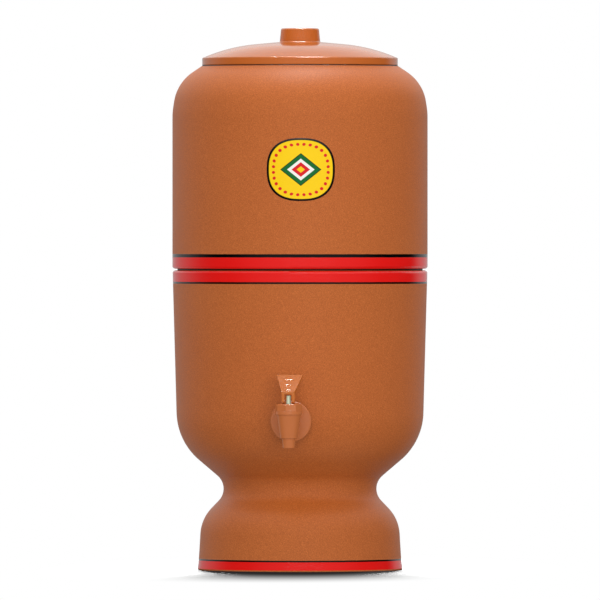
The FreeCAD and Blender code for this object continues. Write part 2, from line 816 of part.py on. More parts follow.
def make_seat_cup():
    """The soft cup that plugs the outlet: a thick foot on the seat, a thin skin and a clamped rim."""
    body = new_tap_body("seat_cup")
    head_top = s.stem_head_height - s.stem_head_drop + s.cup_grip_clearance
    head_foot = -s.stem_head_drop - s.cup_grip_clearance
    grip_radius = s.stem_radius + s.cup_grip_clearance
    head_radius = s.stem_head_radius + s.cup_grip_clearance
    rim_foot = s.collar_foot - s.cup_rim_wall
    body_top = s.cup_body_height - s.valve_seat_drop
    section = new_sketch(body, "section", FRONT_BACK)
    Outline(section, {
        "foot_middle": (0, -s.valve_seat_drop),
        "foot": (s.cup_foot_radius, -s.valve_seat_drop),
        "foot_top": (s.cup_foot_radius, s.cup_foot_height - s.valve_seat_drop),
        "body_foot": (s.cup_body_radius, s.cup_foot_height + s.cup_skin - s.valve_seat_drop),
        "skin_foot": (s.cup_body_radius, body_top),
        "skin_top": (s.chamber_bore_radius - s.cup_skin_clearance, rim_foot),
        "rim_foot": (s.cap_thread_radius, rim_foot),
        "rim_top": (s.cap_thread_radius, s.collar_foot),
        "skin_inner_top": (s.chamber_bore_radius - s.cup_skin, s.collar_foot),
        "skin_inner_foot": (s.cup_body_radius - s.cup_skin, body_top + s.cup_skin),
        "mouth": (grip_radius, body_top + s.cup_skin),
        "neck": (grip_radius, head_top),
        "head_top": (head_radius, head_top),
        "head_foot": (head_radius, head_foot),
        "head_middle": (0, head_foot),
    })
    turn(body, section)
    return body


def make_valve_stem():
    """The pale stem: its head is buttoned into the soft cup, its top carries the lever's pin."""
    body = new_tap_body("valve_stem")
    stem_top = s.pin_height + s.stem_crest
    section = new_sketch(body, "section", FRONT_BACK)
    Outline(section, {
        "foot_middle": (0, -s.stem_head_drop),
        "head_foot": (s.stem_head_radius, -s.stem_head_drop),
        "head_top": (s.stem_head_radius, s.stem_head_height - s.stem_head_drop),
        "neck": (s.stem_radius, s.stem_head_height - s.stem_head_drop),
        "top": (s.stem_radius, stem_top, s.stem_top_round),
        "top_middle": (0, stem_top),
    })
    turn(body, section)
    eye = new_sketch(body, "eye", FRONT_BACK)
    add_circle(eye, 0, s.pin_height, s.pin_radius)
    cut_through(body, eye)
    return body


def make_lever_pin():
    body = new_tap_body("lever_pin")
    section = new_sketch(body, "section", FRONT_BACK)
    add_circle(section, 0, s.pin_height, s.pin_radius)
    pad(body, section, s.lever_width)
    return body


def cam_point(rest_height, degrees):
    """A point of the heel's cam, with the pin at 0: its height over the bonnet grows evenly as it tilts."""
    height = rest_height + s.cam_reach * degrees * RADIANS_PER_DEGREE
    ahead = height * sine(degrees) + s.cam_reach * cosine(degrees)
    up = s.cam_reach * sine(degrees) - height * cosine(degrees)
    return ahead, up


def make_tap_lever():
    """The lever: two legs astride the stem, a cam under them and a thumb pad that leans back."""
    body = new_body("tap_lever", y=-s.tap_reach, z=s.tap_height + s.pin_height)
    rest_height = s.pin_rise - s.cam_clearance
    half_travel = s.lever_travel_angle / 2
    middle_ahead, middle_up = cam_point(rest_height, half_travel)
    end_ahead, end_up = cam_point(rest_height, s.lever_travel_angle)
    round_growth = s.cam_reach * half_travel * RADIANS_PER_DEGREE
    first_round = rest_height + round_growth / 2
    lean = s.pad_lean_angle
    face_at_back = s.pad_foot_height + (end_ahead + s.heel_back) * cosine(lean) / sine(lean)
    neck = new_sketch(body, "neck", FRONT_BACK)
    Outline(neck, {
        "cam_end": (-end_ahead, end_up, 0, first_round + round_growth),
        "cam_middle": (-middle_ahead, middle_up, 0, first_round),
        "cam_start": (-s.cam_reach, -rest_height),
        "heel": (s.heel_back, -rest_height, s.heel_round),
        "back_top": (s.heel_back, face_at_back - s.pad_wall / 2),
        "pad_foot": (-end_ahead, s.pad_foot_height),
    })
    pad(body, neck, s.lever_width)
    thumb_pad = new_sketch(body, "thumb_pad", LEFT_RIGHT)
    thumb_pad.AttachmentOffset = FreeCAD.Placement(
        FreeCAD.Vector(0, s.pad_foot_height, end_ahead),
        FreeCAD.Rotation(FreeCAD.Vector(-1, 0, 0), float(lean)))
    bind(thumb_pad, "AttachmentOffset.Base.y", s.pad_foot_height)
    bind(thumb_pad, "AttachmentOffset.Base.z", end_ahead)
    bind(thumb_pad, "AttachmentOffset.Rotation.Angle", lean)
    Outline(thumb_pad, {
        "foot_left": (-s.lever_width / 2, 0),
        "foot_right": (s.lever_width / 2, 0),
        "tip_right": (s.pad_width / 2, s.pad_length),
        "tip_left": (-s.pad_width / 2, s.pad_length),
    })
    pad(body, thumb_pad, s.pad_wall, both_ways=False, reverse=True)
    for i in range(RIDGE_COUNT):
        up_pad = s.ridge_first + s.ridge_pitch * i
        ridge = new_sketch(body, f"ridge_{i + 1}", FRONT_BACK)
        add_circle(ridge, up_pad * sine(lean) - end_ahead, up_pad * cosine(lean) + s.pad_foot_height,
                   s.ridge_radius)
        pad(body, ridge, s.ridge_width + s.ridge_width_step * i)
    slot = new_sketch(body, "slot", LEFT_RIGHT)
    Outline(slot, {
        "foot_left": (-s.slot_width / 2, -s.pin_rise),
        "foot_right": (s.slot_width / 2, -s.pin_rise),
        "top_right": (s.slot_width / 2, s.slot_height),
        "top_left": (-s.slot_width / 2, s.slot_height),
    })
    cut_through(body, slot)
    eye = new_sketch(body, "eye", FRONT_BACK)
    add_circle(eye, 0, 0, s.pin_radius + s.pin_clearance)
    cut_through(body, eye)
    return body


class Candle:
    """One filter candle, how it is fastened through the floor, and the float valve on its stem."""

    def __init__(self, name, side):
        self.name = name
        self.x = s.candle_spacing / 2 * side
        self.base_foot = s.floor_height + s.washer_wall
        self.shell_foot = self.base_foot + s.base_floor
        self.bracket_top = s.floor_underside - s.nut_height
        self.bracket_foot = self.bracket_top - s.bracket_height

    def new_body(self, piece):
        return new_body(f"{piece}_{self.name}", x=self.x)

    def make_shell(self):
        """The porous ceramic candle: a domed tube, open below."""
        body = self.new_body("candle_shell")
        top = self.shell_foot + s.candle_height
        inner_radius = s.candle_radius - s.candle_wall
        section = new_sketch(body, "section", LEFT_RIGHT)
        Outline(section, {
            "foot": (s.candle_radius, self.shell_foot),
            "dome": (s.candle_radius, top, s.candle_dome_round),
            "top_middle": (0, top),
            "roof_middle": (0, top - s.candle_wall),
            "roof": (inner_radius, top - s.candle_wall, s.candle_dome_round - s.candle_wall),
            "inner_foot": (inner_radius, self.shell_foot),
        })
        turn(body, section)
        return body

    def make_base(self):
        """The moulded cup that the candle is set in, with the hollow stem that goes down through the floor."""
        body = self.new_body("candle_base")
        section = new_sketch(body, "section", LEFT_RIGHT)
        Outline(section, {
            "stem_foot_inner": (s.candle_bore_radius, s.candle_stem_end),
            "stem_foot": (s.candle_stem_radius, s.candle_stem_end),
            "stem_root": (s.candle_stem_radius, self.base_foot),
            "cup_foot": (s.base_radius, self.base_foot, s.base_foot_round),
            "cup_top": (s.base_radius, self.base_foot + s.base_height),
            "cup_inner_top": (s.candle_radius, self.base_foot + s.base_height),
            "cup_inner_foot": (s.candle_radius, self.shell_foot),
            "bore_top": (s.candle_bore_radius, self.shell_foot),
        })
        turn(body, section)
        return body

    def make_washer(self):
        body = self.new_body("candle_washer")
        section = new_sketch(body, "section", LEFT_RIGHT)
        Outline(section, {
            "foot_inner": (s.candle_stem_radius, s.floor_height),
            "foot": (s.washer_radius, s.floor_height),
            "top": (s.washer_radius, self.base_foot),
            "top_inner": (s.candle_stem_radius, self.base_foot),
        })
        turn(body, section)
        return body

    def make_nut(self):
        body = self.new_body("candle_nut")
        outline = new_sketch(body, "outline", LEVEL)
        polygon_nut(outline, s.nut_flats, NUT_SIDES)
        add_circle(outline, 0, 0, s.candle_stem_radius)
        bind(outline, "AttachmentOffset.Base.z", self.bracket_top)
        pad(body, outline, s.nut_height, both_ways=False)
        return body

    def make_bracket(self):
        """The float's bracket: a collar on the stem and two lugs for the arm's hinge pin."""
        body = self.new_body("float_bracket")
        collar = new_sketch(body, "collar", LEVEL)
        add_circle(collar, 0, 0, s.bracket_radius)
        add_circle(collar, 0, 0, s.candle_stem_radius)
        bind(collar, "AttachmentOffset.Base.z", self.bracket_foot)
        pad(body, collar, s.bracket_height, both_ways=False)
        lug_foot = s.hinge_height - s.lug_margin
        lug_front = -s.candle_stem_radius - s.lug_standoff
        lug_back = -s.hinge_back - s.lug_margin
        lugs = new_sketch(body, "lugs", FRONT_BACK)
        Outline(lugs, {
            "front_top": (lug_front, self.bracket_top),
            "back_top": (lug_back, self.bracket_top, s.lug_round),
            "back_foot": (lug_back, lug_foot, s.hinge_eye_radius),
            "front_foot": (lug_front, lug_foot),
        })
        pad(body, lugs, s.lug_width)
        gap = new_sketch(body, "gap", LEFT_RIGHT)
        Outline(gap, {
            "foot_left": (-s.lug_gap / 2, lug_foot),
            "foot_right": (s.lug_gap / 2, lug_foot),
            "top_right": (s.lug_gap / 2, self.bracket_foot),
            "top_left": (-s.lug_gap / 2, self.bracket_foot),
        })
        cut_through(body, gap)
        eye = new_sketch(body, "eye", FRONT_BACK)
        add_circle(eye, -s.hinge_back, s.hinge_height, s.hinge_pin_radius)
        cut_through(body, eye)
        return body

    def make_hinge_pin(self):
        body = self.new_body("float_pin")
        section = new_sketch(body, "section", FRONT_BACK)
        add_circle(section, -s.hinge_back, s.hinge_height, s.hinge_pin_radius)
        pad(body, section, s.lug_width)
        return body

    def new_arm_body(self, piece):
        """A body that lies along the float's arm: its origin is the hinge, its Y axis the arm."""
        body = new_body(f"{piece}_{self.name}", self.x, -s.hinge_back, s.hinge_height)
        body.Placement.Rotation = FreeCAD.Rotation(FreeCAD.Vector(-1, 0, 0), float(s.float_droop_angle))
        bind(body, "Placement.Rotation.Angle", s.float_droop_angle)
        return body

    def make_arm(self):
        body = self.new_arm_body("float_arm")
        bar = new_sketch(body, "bar", FRONT_BACK)
        half_wall = s.arm_wall / 2
        Outline(bar, {
            "hinge_foot": (0, -half_wall),
            "end_foot": (s.arm_length, -half_wall),
            "end_top": (s.arm_length, half_wall, half_wall),
            "hinge_top": (0, half_wall),
        })
        pad(body, bar, s.arm_width)
        knuckle = new_sketch(body, "knuckle", FRONT_BACK)
        add_circle(knuckle, 0, 0, s.hinge_eye_radius)
        pad(body, knuckle, s.arm_width)
        eye = new_sketch(body, "eye", FRONT_BACK)
        add_circle(eye, 0, 0, s.hinge_pin_radius + s.pin_clearance)
        cut_through(body, eye)
        return body

    def make_seal(self):
        """The rubber plug on the arm that closes the stem's end when the float is up."""
        body = self.new_arm_body("float_seal")
        section = new_sketch(body, "section", LEVEL)
        add_circle(section, 0, s.hinge_back, s.seal_radius)
        arm_top = s.arm_wall / 2
        bind(section, "AttachmentOffset.Base.z", arm_top)
        pad(body, section, s.hinge_drop - arm_top - s.seal_gap, both_ways=False)
        return body

    def make_float(self):
        """The hollow sealed float under the arm's end."""
        body = self.new_arm_body("float_pad")
        section = new_sketch(body, "section", LEVEL)
        add_circle(section, 0, s.float_reach, s.float_radius)
        bind(section, "AttachmentOffset.Base.z", -s.arm_wall / 2)
        disc = pad(body, section, s.float_height, both_ways=False, reverse=True)
        doc.recompute()
        rims = [f"Edge{i}" for i, edge in enumerate(disc.Shape.Edges, start=1) if edge.Closed]
        rounding = body.newObject("PartDesign::Fillet", f"{body.Name}_rounding")
        rounding.Base = (disc, rims)
        bind(rounding, "Radius", s.float_edge_round)
        return body

    def make_all(self):
        return [
            self.make_shell(), self.make_base(), self.make_washer(), self.make_nut(), self.make_bracket(),
            self.make_hinge_pin(), self.make_arm(), self.make_seal(), self.make_float(),
        ]


def make_parts():
    lower_chamber = make_lower_chamber()
    flange_back = s.tap_standoff
    nut_face = flange_back + s.clamp_depth
    parts = [
        lower_chamber, make_upper_chamber(), make_lid(), make_tap_body(), make_bonnet(), make_seat_cup(),
        make_valve_stem(), make_lever_pin(), make_tap_lever(), make_lock_nut(),
        make_gasket("tap_outer_gasket", flange_back, flange_back + s.outer_gasket_reach, lower_chamber),
        make_gasket("tap_inner_gasket", nut_face - s.inner_gasket_reach, nut_face, lower_chamber),
    ]
    parts += Candle("left", -1).make_all()
    parts += Candle("right", 1).make_all()
    return parts


def check_and_write(parts):
    """Stop at anything that failed, then write one file for each sub-part."""
    doc.recompute()
    for item in doc.Objects:
        if {"Invalid", "Error"} & set(item.State):
            raise RuntimeError(f"{item.Name} failed: {item.State}")
    os.makedirs("parts", exist_ok=True)
    for part in parts:
        shape = part.Shape
        if shape.isNull() or not shape.isValid() or shape.Volume <= 0:
            raise RuntimeError(f"{part.Label} has no sound shape")
        shape.exportStep(os.path.join("parts", f"{part.Label}.step"))
        print(f"{part.Label}: {len(shape.Solids)} solid, {shape.Volume / 1000:.2f} cm3")


check_and_write(make_parts())
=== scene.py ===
"""Looks of the clay water pot with tap, around its CAD frame. Metres, +Z up, tap towards -Y."""

import math
from collections import namedtuple

import bmesh
import bpy
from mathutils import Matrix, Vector


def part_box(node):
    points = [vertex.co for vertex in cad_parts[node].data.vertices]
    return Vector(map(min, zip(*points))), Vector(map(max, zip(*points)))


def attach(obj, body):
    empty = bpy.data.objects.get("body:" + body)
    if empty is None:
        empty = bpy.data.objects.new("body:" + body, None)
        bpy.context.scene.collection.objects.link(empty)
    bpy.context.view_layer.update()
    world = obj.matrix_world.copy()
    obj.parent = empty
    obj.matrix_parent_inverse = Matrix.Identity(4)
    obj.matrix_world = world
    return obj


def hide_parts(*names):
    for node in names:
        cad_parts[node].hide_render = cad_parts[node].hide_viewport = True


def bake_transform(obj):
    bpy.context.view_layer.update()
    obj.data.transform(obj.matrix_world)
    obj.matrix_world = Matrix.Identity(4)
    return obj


MM = 0.001

# An azimuth turns from the tap's side to the right and an elevation goes up, both in degrees.
# The camera stands on a long lens, a little to the right of the tap and at the pot's mid height.
CAMERA_AZIMUTH = 4.03
CAMERA_ELEVATION = 0.28
CAMERA_DISTANCE = 14.1
CAMERA_REACH = 100
SENSOR_WIDTH = 36.0
VIEW_WIDTH = 600 * MM
VIEW_CENTRE = Vector((0, 0, 269.6 * MM))

# Light that matt surfaces get from the studio and from the floor: what a face turned to the
# camera sends back is about its written colour
SKY_GLOW = 0.66
FLOOR_GLOW = 0.42
# What glossy surfaces see: dim in front of the pot, white behind it, brighter above and below
REFLECTED_SIDES = 0.01
REFLECTED_FRONT = 0.34
REFLECTED_BACK = 0.52
REFLECTED_ABOVE = 1.05
REFLECTED_CEILING = 1.6
REFLECTED_FLOOR = 0.8
# How far a direction points ahead, or up, where each of these starts and where it is full
FRONT_SPAN = (0.26, 0.94)
ABOVE_SPAN = (0.03, 0.3)
CEILING_SPAN = (0.29, 0.88)
FLOOR_SPAN = (-0.3, -0.75)
# Azimuths between which the background is white, and how softly it starts and ends there
WHITE_FROM, WHITE_FROM_SOFTNESS = 133, 0.19
WHITE_TO, WHITE_TO_SOFTNESS = 259, 0.42

# The floor fades to white away from the pot, sooner to its left and right than ahead of it
FLOOR_ALBEDO = 0.04
FLOOR_RADIUS = 2.0
FLOOR_SEGMENTS = 128
FLOOR_FADE_START = 0.17
FLOOR_FADE_END = 0.58
FLOOR_FADE_SQUEEZE = 2.2

Lamp = namedtuple("Lamp", "name azimuth elevation distance width height power")
FLOOR_LIGHT = Lamp("floor_light", 184, 17, 3.4, 0.9, 1.2, 17500)
OVERHEAD = Lamp("overhead", 176, 84, 2.4, 0.6, 2.1, 25)
FRONT = Lamp("front", 11, 8, 4.2, 3.4, 2.2, 82)
STRIP = Lamp("strip", 10, 84, 2.4, 1.7, 0.25, 150)
GRIP = Lamp("grip", 8, 58, 2.4, 1.0, 1.0, 300)
STRIP_LIT = ("lid", "tap_lever", "tap_bonnet", "tap_body", "valve_stem")
GRIP_LIT = ("tap_lever",)

# Colours as they are written for a screen, 0 to 255
WHITE = (255, 255, 255)
CLAY_MID = (188, 99, 40)
CLAY_DRIFT = (185, 96, 38)
CLAY_DARK = (166, 84, 32)
CLAY_PALE = (208, 116, 54)
# Painted shade, for the seam's groove and the line under the lid's rim
PAINTED_SHADE_BROWN = (44, 16, 8)
PAINT_RED = (231, 23, 20)
PAINT_BLACK = (3, 4, 5)
LID_ORANGE = (190, 101, 42)
TAP_ORANGE = (192, 109, 59)
LEVER_ORANGE = (191, 105, 41)
STEM_PALE = (226, 250, 218)
RUBBER_BLACK = (32, 31, 30)
SILICONE_GREY = (186, 184, 176)
PLASTIC_WHITE = (228, 228, 222)
STEEL_DARK = (178, 180, 182)
STEEL_PALE = (204, 206, 208)
CANDLE_WHITE = (236, 233, 224)
CANDLE_DRIFT = (228, 224, 212)
CANDLE_PORE = (190, 184, 170)
LABEL_YELLOW = (252, 207, 2)
LABEL_RED = (220, 14, 30)
LABEL_GREEN = (8, 106, 46)
LABEL_WHITE = (244, 242, 236)
LABEL_INK = (3, 4, 8)

# Noise mostly keeps to the range from low to high. Sizes and depths of texture are in
# millimetres, and a span is the noise at which grains, specks or pores start and are full
NOISE_LOW, NOISE_MIDDLE, NOISE_HIGH = 0.3, 0.5, 0.7
BEVEL_SAMPLES = 4
CLAY_DRIFT_SIZE = 60
GRAIN_SIZE = 0.8
SPECK_SIZE = 2.6
PALE_GRAIN = (NOISE_MIDDLE, 0.68)
DARK_GRAIN = (NOISE_MIDDLE, 0.32)
SPECK_SPAN = (0.62, 0.75)
SPECK_SHARE = 0.2
CLAY_ROUGHNESS = (0.42, 0.54)
CLAY_SPECULAR = 0.4
GRAIN_DEPTH = 0.12
# Paint: as brushed on, its edges wander and it stands a little proud
PAINT_ROUGHNESS = (0.10, 0.16)
PAINT_DEPTH = 0.06
PAINT_EDGE = 0.12
WOBBLE_SIZE = 9
WOBBLE_HEIGHT = 0.25
# Moulded plastic: its flow makes it a little paler in places
FLOW_SIZE = 14
FLOW_PALER = 1.08
PLASTIC_GRAIN_SIZE = 0.7
PLASTIC_GRAIN_DEPTH = 0.02
PLASTIC_ROUGHNESS_VARIES = 0.15
PLASTIC_EDGE = 0.35
LID_EDGE = 1.2
TAP_EDGE = 0.3
LEVER_EDGE = 0.15
RUBBER_GRAIN_SIZE = 0.5
RUBBER_GRAIN_DEPTH = 0.05
RUBBER_PALER = 1.6
RUBBER_ROUGHNESS = (0.55, 0.75)
RUBBER_EDGE = 0.3
# Drawn steel wire: its lines are drawn out along its length
WIRE_LINE_SIZE = 0.25
WIRE_LINE_DEPTH = 0.01
WIRE_STRETCH = (0.05, 1, 1)
STEEL_ROUGHNESS = (0.22, 0.38)
PORE_SIZE = 0.8
PORE_DEPTH = 0.15
PORE_SPAN = (0.62, 0.8)
PORE_SHARE = 0.35
CANDLE_DRIFT_SIZE = 18
CANDLE_ROUGHNESS = (0.78, 0.92)

# Painted bands, as heights in millimetres: (low, high)
UPPER_RED = (300.7, 312.3)
UPPER_BLACK = (312.3, 315.6)
LOWER_RED = (287.9, 298.9)
LOWER_BLACK = (286.0, 287.9)
FOOT_RED = (1.3, 9.6)
FOOT_BLACK = (9.5, 11.2)
# Where there is paint at all, in millimetres: (low, high, least radius)
SEAM_PAINT = (280.0, 320.0, 123.6)
FOOT_PAINT = (-1.0, 20.0, 96.0)
# Painted shade: the clay is painted dark in the seam's groove and where the lid rests, in
# millimetres:
# (low, high, least radius, most radius)
SEAM_PAINTED_SHADE = (299.3, 300.8, 118.0, 124.0)
LID_PAINTED_SHADE = (503.2, 507.5, 92.0, 99.5)

# Label: a plain oval badge stuck on the upper vessel, facing the camera. Lengths in millimetres
LABEL_WIDTH = 68.3
LABEL_HEIGHT = 62.4
LABEL_CENTRE_HEIGHT = 399.5
LABEL_AZIMUTH = 4.4
LABEL_SQUARENESS = 2.5
LABEL_FILM = 0.12
LABEL_RINGS = 12
LABEL_SPOKES = 96
PRINT_GRAIN_SIZE = 1.5
PRINT_GRAIN_DEPTH = 0.01
PRINT_ROUGHNESS = (0.28, 0.36)
PRINT_SPECULAR = 0.3
# Its print, as shares of the way from its centre to its edge
PRINT_EDGE = 0.008
PRINT_RIM = 0.935
DOTS = 28
DOT_RING = 0.80
DOT_RADIUS = 0.048
LOZENGE_FLATNESS = 1.15
LOZENGE_STEPS = (
    (0.60, LABEL_INK), (0.57, LABEL_GREEN), (0.40, LABEL_WHITE), (0.27, LABEL_RED),
    (0.12, LABEL_YELLOW))

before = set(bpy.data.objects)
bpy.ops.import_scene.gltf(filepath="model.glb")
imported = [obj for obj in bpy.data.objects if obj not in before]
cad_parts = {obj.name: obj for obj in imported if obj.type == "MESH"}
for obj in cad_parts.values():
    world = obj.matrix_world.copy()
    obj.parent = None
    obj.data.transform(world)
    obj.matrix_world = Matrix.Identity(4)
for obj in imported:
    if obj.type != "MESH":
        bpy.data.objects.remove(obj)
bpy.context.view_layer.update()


def written(colour):
    """A colour as it is written for a screen, in the linear values that nodes take."""
    linear = []
    for value in colour:
        share = value / 255
        linear.append(share / 12.92 if share <= 0.04045 else ((share + 0.055) / 1.055) ** 2.4)
    return (*linear, 1.0)


def brighter(colour, times):
    """A linear colour made brighter, at most to 1."""
    return tuple(min(1.0, value * times) for value in colour[:3]) + (1.0,)


class Nodes:
    """A node tree, built by short calls that each hand back a node's output."""

    def __init__(self, tree):
        self.tree = tree

    def node(self, kind, inputs=None, **settings):
        """Add a node, feed its inputs and set its settings."""
        node = self.tree.nodes.new(f"ShaderNode{kind}")
        for name, value in settings.items():
            setattr(node, name, value)
        for name, value in (inputs or {}).items():
            self.feed(node.inputs[name], value)
        return node

    def feed(self, socket, value):
        """Give a socket a value, or link it to the output that makes one."""
        if isinstance(value, bpy.types.NodeSocket):
            self.tree.links.new(value, socket)
        else:
            socket.default_value = value

    def math(self, operation, first, second=0.0):
        return self.node("Math", {0: first, 1: second}, operation=operation).outputs["Value"]

    def ramp(self, value, low, high, start=0.0, end=1.0, **settings):
        """Start where value is low, end where it is high."""
        inputs = {
            "Value": value, "From Min": low, "From Max": high, "To Min": start, "To Max": end}
        return self.node("MapRange", inputs, **settings).outputs["Result"]

    def mix(self, share, first, second, kind="Color"):
        """Two colours, or two values where kind is Float, with a share of the second."""
        node = self.node("Mix", data_type="RGBA" if kind == "Color" else "FLOAT")
        sockets = {item.identifier: item for item in (*node.inputs, *node.outputs)}
        for name, value in (("Factor_Float", share), (f"A_{kind}", first), (f"B_{kind}", second)):
            self.feed(sockets[name], value)
        return sockets[f"Result_{kind}"]

    def any_of(self, masks):
        """1 where any of the masks is 1."""
        whole = masks[0]
        for mask in masks[1:]:
            whole = self.math("MAXIMUM", whole, mask)
        return whole


class Finish(Nodes):
    """A node material around one surface shader."""

    def __init__(self, name):
        self.material = bpy.data.materials.new(name)
        self.material.use_nodes = True
        super().__init__(self.material.node_tree)
        self.tree.nodes.clear()
        self.shader = self.node("BsdfPrincipled")
        self.output = self.node("OutputMaterial", {"Surface": self.shader.outputs["BSDF"]})
        self.place = self.node("TexCoord").outputs["Object"]
        self.bump_below = None

    def set(self, **values):
        """Set the surface's own inputs, an underscore standing for a space."""
        for name, value in values.items():
            self.feed(self.shader.inputs[name.replace("_", " ")], value)

    def noise(self, size, detail=2.0, roughness=0.5, stretch=None):
        """Noise from 0 to 1 whose features are about size millimetres across."""
        place = self.place
        if stretch:
            place = self.node("Mapping", {"Vector": place, "Scale": stretch}).outputs["Vector"]
        inputs = {
            "Vector": place, "Scale": 1 / (size * MM), "Detail": detail, "Roughness": roughness}
        return self.node("TexNoise", inputs).outputs["Fac"]

    def spread(self, noise, start=0.0, end=1.0):
        """Values from start to end over the range that noise mostly keeps to."""
        return self.ramp(noise, NOISE_LOW, NOISE_HIGH, start, end)

    def radius(self, squeeze=1.0):
        """How far a point is from the pot's axis, left and right counting squeeze times."""
        x, y, _ = self.axes()
        x = self.math("MULTIPLY", x, squeeze)
        squares = self.math("ADD", self.math("MULTIPLY", x, x), self.math("MULTIPLY", y, y))
        return self.math("SQRT", squares)

    def axes(self):
        """A point's place in the frame, as three lengths in metres."""
        parts = self.node("SeparateXYZ", {"Vector": self.place})
        return parts.outputs["X"], parts.outputs["Y"], parts.outputs["Z"]

    def band(self, length, low, high):
        """1 where a length lies between two bounds in millimetres, with paint-sharp edges."""
        above = self.ramp(length, (low - PAINT_EDGE) * MM, (low + PAINT_EDGE) * MM)
        below = self.ramp(length, (high - PAINT_EDGE) * MM, (high + PAINT_EDGE) * MM, 1.0, 0.0)
        return self.math("MULTIPLY", above, below)

    def soft_edges(self, radius):
        """Shade sharp edges as if they were rounded to this radius in millimetres."""
        self.bump_below = self.node("Bevel", {"Radius": radius * MM},
                                    samples=BEVEL_SAMPLES).outputs["Normal"]
        self.set(Normal=self.bump_below)

    def bump(self, height, depth):
        """Raise the surface by depth millimetres where height is 1."""
        inputs = {"Height": height, "Distance": depth * MM}
        if self.bump_below:
            inputs["Normal"] = self.bump_below
        self.bump_below = self.node("Bump", inputs).outputs["Normal"]
        self.set(Normal=self.bump_below)


def make_clay(name, paints, reds, blacks, painted_shades):
    """Fired clay, fine-grained and matt, with bands of glossy paint on its outer side and painted
    shade in its seam's groove and under the lid's rim.
    """
    finish = Finish(name)
    _, _, height = finish.axes()
    radius = finish.radius()
    drift = finish.noise(CLAY_DRIFT_SIZE, detail=3)
    grain = finish.noise(GRAIN_SIZE, detail=3, roughness=0.6)
    speck = finish.noise(SPECK_SIZE, detail=2)
    dark = written(CLAY_DARK)
    clay = finish.mix(finish.spread(drift), written(CLAY_MID), written(CLAY_DRIFT))
    clay = finish.mix(finish.ramp(grain, *PALE_GRAIN), clay, written(CLAY_PALE))
    clay = finish.mix(finish.ramp(grain, *DARK_GRAIN), clay, dark)
    clay = finish.mix(finish.ramp(speck, *SPECK_SPAN, 0.0, SPECK_SHARE), clay, dark)
    # Painted shade: dark brown where shade falls in the seam's groove and under the lid's rim
    for low, high, least_radius, most_radius in painted_shades:
        painted_shade = finish.math("MULTIPLY", finish.band(height, low, high),
                            finish.band(radius, least_radius, most_radius))
        clay = finish.mix(painted_shade, clay, written(PAINTED_SHADE_BROWN))

    wander = finish.math("SUBTRACT", finish.noise(WOBBLE_SIZE), NOISE_MIDDLE)
    painted_height = finish.math(
        "ADD", height, finish.math("MULTIPLY", wander, WOBBLE_HEIGHT * MM))
    outside = finish.any_of([
        finish.math("MULTIPLY", finish.band(height, low, high),
                    finish.math("GREATER_THAN", radius, least_radius * MM))
        for low, high, least_radius in paints])
    red, black = [
        finish.math("MULTIPLY", outside,
                    finish.any_of([finish.band(painted_height, *stripe) for stripe in stripes]))
        for stripes in (reds, blacks)]
    painted = finish.any_of([red, black])
    colour = finish.mix(red, clay, written(PAINT_RED))
    colour = finish.mix(black, colour, written(PAINT_BLACK))
    matt = finish.spread(grain, *CLAY_ROUGHNESS)
    gloss = finish.spread(drift, *PAINT_ROUGHNESS)
    finish.set(Base_Color=colour, Roughness=finish.mix(painted, matt, gloss, "Float"),
               Specular_IOR_Level=CLAY_SPECULAR)
    finish.bump(finish.mix(painted, grain, NOISE_MIDDLE, "Float"), GRAIN_DEPTH)
    finish.bump(painted, PAINT_DEPTH)
    return finish.material


def make_plastic(name, colour, roughness, edge=PLASTIC_EDGE):
    """Moulded plastic: even colour with a faint flow, a fine texture and softened edges."""
    finish = Finish(name)
    flow = finish.noise(FLOW_SIZE, detail=2)
    fine = finish.noise(PLASTIC_GRAIN_SIZE, detail=3)
    colour = written(colour)
    finish.set(Base_Color=finish.mix(flow, colour, brighter(colour, FLOW_PALER)))
    finish.set(Roughness=finish.spread(fine, roughness * (1 - PLASTIC_ROUGHNESS_VARIES),
                                       roughness * (1 + PLASTIC_ROUGHNESS_VARIES)))
    finish.soft_edges(edge)
    finish.bump(fine, PLASTIC_GRAIN_DEPTH)
    return finish.material


def make_rubber(name, colour):
    """Matt rubber, with a fine mottle."""
    finish = Finish(name)
    fine = finish.noise(RUBBER_GRAIN_SIZE, detail=3)
    colour = written(colour)
    finish.set(Base_Color=finish.mix(fine, colour, brighter(colour, RUBBER_PALER)))
    finish.set(Roughness=finish.spread(fine, *RUBBER_ROUGHNESS))
    finish.soft_edges(RUBBER_EDGE)
    finish.bump(fine, RUBBER_GRAIN_DEPTH)
    return finish.material


def make_steel(name):
    """Drawn wire, with fine lines along its length, left to right."""
    finish = Finish(name)
    lines = finish.noise(WIRE_LINE_SIZE, detail=2, stretch=WIRE_STRETCH)
    colour = finish.mix(lines, written(STEEL_DARK), written(STEEL_PALE))
    finish.set(Base_Color=colour, Metallic=1.0)
    finish.set(Roughness=finish.spread(lines, *STEEL_ROUGHNESS))
    finish.bump(lines, WIRE_LINE_DEPTH)
    return finish.material


def make_candle(name):
    """Porous white ceramic."""
    finish = Finish(name)
    pores = finish.noise(PORE_SIZE, detail=4, roughness=0.7)
    drift = finish.noise(CANDLE_DRIFT_SIZE, detail=2)
    colour = finish.mix(drift, written(CANDLE_WHITE), written(CANDLE_DRIFT))
    pore = finish.ramp(pores, *PORE_SPAN, 0.0, PORE_SHARE)
    finish.set(Base_Color=finish.mix(pore, colour, written(CANDLE_PORE)))
    finish.set(Roughness=finish.spread(pores, *CANDLE_ROUGHNESS))
    finish.bump(pores, PORE_DEPTH)
    return finish.material


